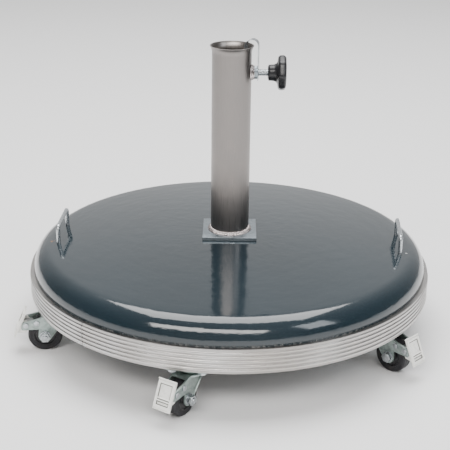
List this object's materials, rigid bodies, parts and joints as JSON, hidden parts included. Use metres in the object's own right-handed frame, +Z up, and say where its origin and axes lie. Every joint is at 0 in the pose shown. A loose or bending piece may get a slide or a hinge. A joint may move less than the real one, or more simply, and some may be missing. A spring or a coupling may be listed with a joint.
{
  "type": "parasol base",
  "caption": "Round ballasted parasol base with a ribbed metal rim, a flared pole tube with a side clamp screw, two lift handles and braked swivel casters.",
  "frame": {"origin": "on the floor, under the axis of the pole tube", "axes": "+Z up along the tube, +X towards the clamp knob"},
  "size_m": [0.6266, 0.6525, 0.4415],
  "materials": {
    "enamel": "gloss enamel over sheet steel",
    "concrete": "cast concrete",
    "band": "ribbed, bright",
    "tube": "brushed along its length",
    "zinc": "bright zinc plate",
    "plain_steel": "plain steel",
    "zinc_dull": "pale zinc plate",
    "tyre": "black solid rubber",
    "hub": "moulded plastic",
    "knob": "black, glossy"
  },
  "bodies": {
    "base": {"dish_shell": "enamel", "concrete_ballast": "concrete", "bottom_plate": "plain_steel", "rim_band": "band", "rim_band_screws": "zinc", "handle_left": "zinc", "handle_right": "zinc", "socket_plate": "zinc", "socket_tube": "tube", "tube_weld": "tube", "clamp_nut": "zinc", "clamp_nut_weld": "plain_steel", "guard_strip": "zinc", "caster_bolts": "zinc", "caster_kingpins": "zinc", "swivel_balls": "plain_steel", "caster_1_plate": "zinc_dull", "caster_2_plate": "zinc_dull", "caster_3_plate": "zinc_dull", "caster_4_plate": "zinc_dull", "caster_5_plate": "zinc_dull", "caster_6_plate": "zinc_dull"},
    "clamp_screw": {"clamp_screw": "zinc"},
    "clamp_knob": {"clamp_knob": "knob"},
    "caster_1_swivel": {"caster_1_fork": "zinc_dull", "caster_1_fasteners": "zinc", "caster_1_spring": "plain_steel"},
    "caster_1_wheel": {"caster_1_tyre": "tyre", "caster_1_hub": "hub"},
    "caster_1_brake": {"caster_1_pedal": "zinc_dull"},
    "caster_2_swivel": {"caster_2_fork": "zinc_dull", "caster_2_fasteners": "zinc", "caster_2_spring": "plain_steel"},
    "caster_2_wheel": {"caster_2_tyre": "tyre", "caster_2_hub": "hub"},
    "caster_2_brake": {"caster_2_pedal": "zinc_dull"},
    "caster_3_swivel": {"caster_3_fork": "zinc_dull", "caster_3_fasteners": "zinc", "caster_3_spring": "plain_steel"},
    "caster_3_wheel": {"caster_3_tyre": "tyre", "caster_3_hub": "hub"},
    "caster_3_brake": {"caster_3_pedal": "zinc_dull"},
    "caster_4_swivel": {"caster_4_fork": "zinc_dull", "caster_4_fasteners": "zinc", "caster_4_spring": "plain_steel"},
    "caster_4_wheel": {"caster_4_tyre": "tyre", "caster_4_hub": "hub"},
    "caster_4_brake": {"caster_4_pedal": "zinc_dull"},
    "caster_5_swivel": {"caster_5_fork": "zinc_dull", "caster_5_fasteners": "zinc", "caster_5_spring": "plain_steel"},
    "caster_5_wheel": {"caster_5_tyre": "tyre", "caster_5_hub": "hub"},
    "caster_5_brake": {"caster_5_pedal": "zinc_dull"},
    "caster_6_swivel": {"caster_6_fork": "zinc_dull", "caster_6_fasteners": "zinc", "caster_6_spring": "plain_steel"},
    "caster_6_wheel": {"caster_6_tyre": "tyre", "caster_6_hub": "hub"},
    "caster_6_brake": {"caster_6_pedal": "zinc_dull"}
  },
  "joints": [
    {"name": "screw_travel", "type": "slide", "parent": "base", "child": "clamp_screw", "axis": [-1, 0, 0], "range_m": [-0.0031, 0.0121]},
    {"name": "knob_turn", "type": "hinge", "parent": "clamp_screw", "child": "clamp_knob", "pos_m": [0.0715, 0, 0.393], "axis": [-1, 0, 0], "range_deg": [-720, 2880]},
    {"name": "caster_1_swivel_turn", "type": "hinge", "parent": "base", "child": "caster_1_swivel", "pos_m": [-0.24616, -0.09895, 0.055], "axis": [0, 0, 1], "continuous": true},
    {"name": "caster_1_wheel_roll", "type": "hinge", "parent": "caster_1_swivel", "child": "caster_1_wheel", "pos_m": [-0.26799, -0.10164, 0.025], "axis": [0.1219, -0.9925, 0], "continuous": true},
    {"name": "caster_1_brake_press", "type": "hinge", "parent": "caster_1_swivel", "child": "caster_1_brake", "pos_m": [-0.29479, -0.10493, 0.043], "axis": [0.1219, -0.9925, 0], "range_deg": [0, 12]},
    {"name": "caster_2_swivel_turn", "type": "hinge", "parent": "base", "child": "caster_2_swivel", "pos_m": [-0.04877, -0.26312, 0.055], "axis": [0, 0, 1], "continuous": true},
    {"name": "caster_2_wheel_roll", "type": "hinge", "parent": "caster_2_swivel", "child": "caster_2_wheel", "pos_m": [-0.06075, -0.28157, 0.025], "axis": [0.8387, -0.5446, 0], "continuous": true},
    {"name": "caster_2_brake_press", "type": "hinge", "parent": "caster_2_swivel", "child": "caster_2_brake", "pos_m": [-0.07545, -0.30421, 0.043], "axis": [0.8387, -0.5446, 0], "range_deg": [0, 12]},
    {"name": "caster_3_swivel_turn", "type": "hinge", "parent": "base", "child": "caster_3_swivel", "pos_m": [0.21974, -0.13784, 0.055], "axis": [0, 0, 1], "continuous": true},
    {"name": "caster_3_wheel_roll", "type": "hinge", "parent": "caster_3_swivel", "child": "caster_3_wheel", "pos_m": [0.2356, -0.1531, 0.025], "axis": [0.6934, 0.7206, 0], "continuous": true},
    {"name": "caster_3_brake_press", "type": "hinge", "parent": "caster_3_swivel", "child": "caster_3_brake", "pos_m": [0.25505, -0.17182, 0.043], "axis": [0.6934, 0.7206, 0], "range_deg": [0, 12]},
    {"name": "caster_4_swivel_turn", "type": "hinge", "parent": "base", "child": "caster_4_swivel", "pos_m": [0.24429, 0.10269, 0.055], "axis": [0, 0, 1], "continuous": true},
    {"name": "caster_4_wheel_roll", "type": "hinge", "parent": "caster_4_swivel", "child": "caster_4_wheel", "pos_m": [0.26581, 0.10727, 0.025], "axis": [-0.2079, 0.9781, 0], "continuous": true},
    {"name": "caster_4_brake_press", "type": "hinge", "parent": "caster_4_swivel", "child": "caster_4_brake", "pos_m": [0.29222, 0.11288, 0.043], "axis": [-0.2079, 0.9781, 0], "range_deg": [0, 12]},
    {"name": "caster_5_swivel_turn", "type": "hinge", "parent": "base", "child": "caster_5_swivel", "pos_m": [0.03229, 0.26303, 0.055], "axis": [0, 0, 1], "continuous": true},
    {"name": "caster_5_wheel_roll", "type": "hinge", "parent": "caster_5_swivel", "child": "caster_5_wheel", "pos_m": [0.0446, 0.28126, 0.025], "axis": [-0.829, 0.5592, 0], "continuous": true},
    {"name": "caster_5_brake_press", "type": "hinge", "parent": "caster_5_swivel", "child": "caster_5_brake", "pos_m": [0.0597, 0.30365, 0.043], "axis": [-0.829, 0.5592, 0], "range_deg": [0, 12]},
    {"name": "caster_6_swivel_turn", "type": "hinge", "parent": "base", "child": "caster_6_swivel", "pos_m": [-0.20882, 0.16315, 0.055], "axis": [0, 0, 1], "continuous": true},
    {"name": "caster_6_wheel_roll", "type": "hinge", "parent": "caster_6_swivel", "child": "caster_6_wheel", "pos_m": [-0.22876, 0.17245, 0.025], "axis": [-0.4226, -0.9063, 0], "continuous": true},
    {"name": "caster_6_brake_press", "type": "hinge", "parent": "caster_6_swivel", "child": "caster_6_brake", "pos_m": [-0.25323, 0.18386, 0.043], "axis": [-0.4226, -0.9063, 0], "range_deg": [0, 12]}
  ],
  "couplings": [
    {"joint": "screw_travel", "follows": "knob_turn", "m_per_rad": 0.00023873}
  ]
}
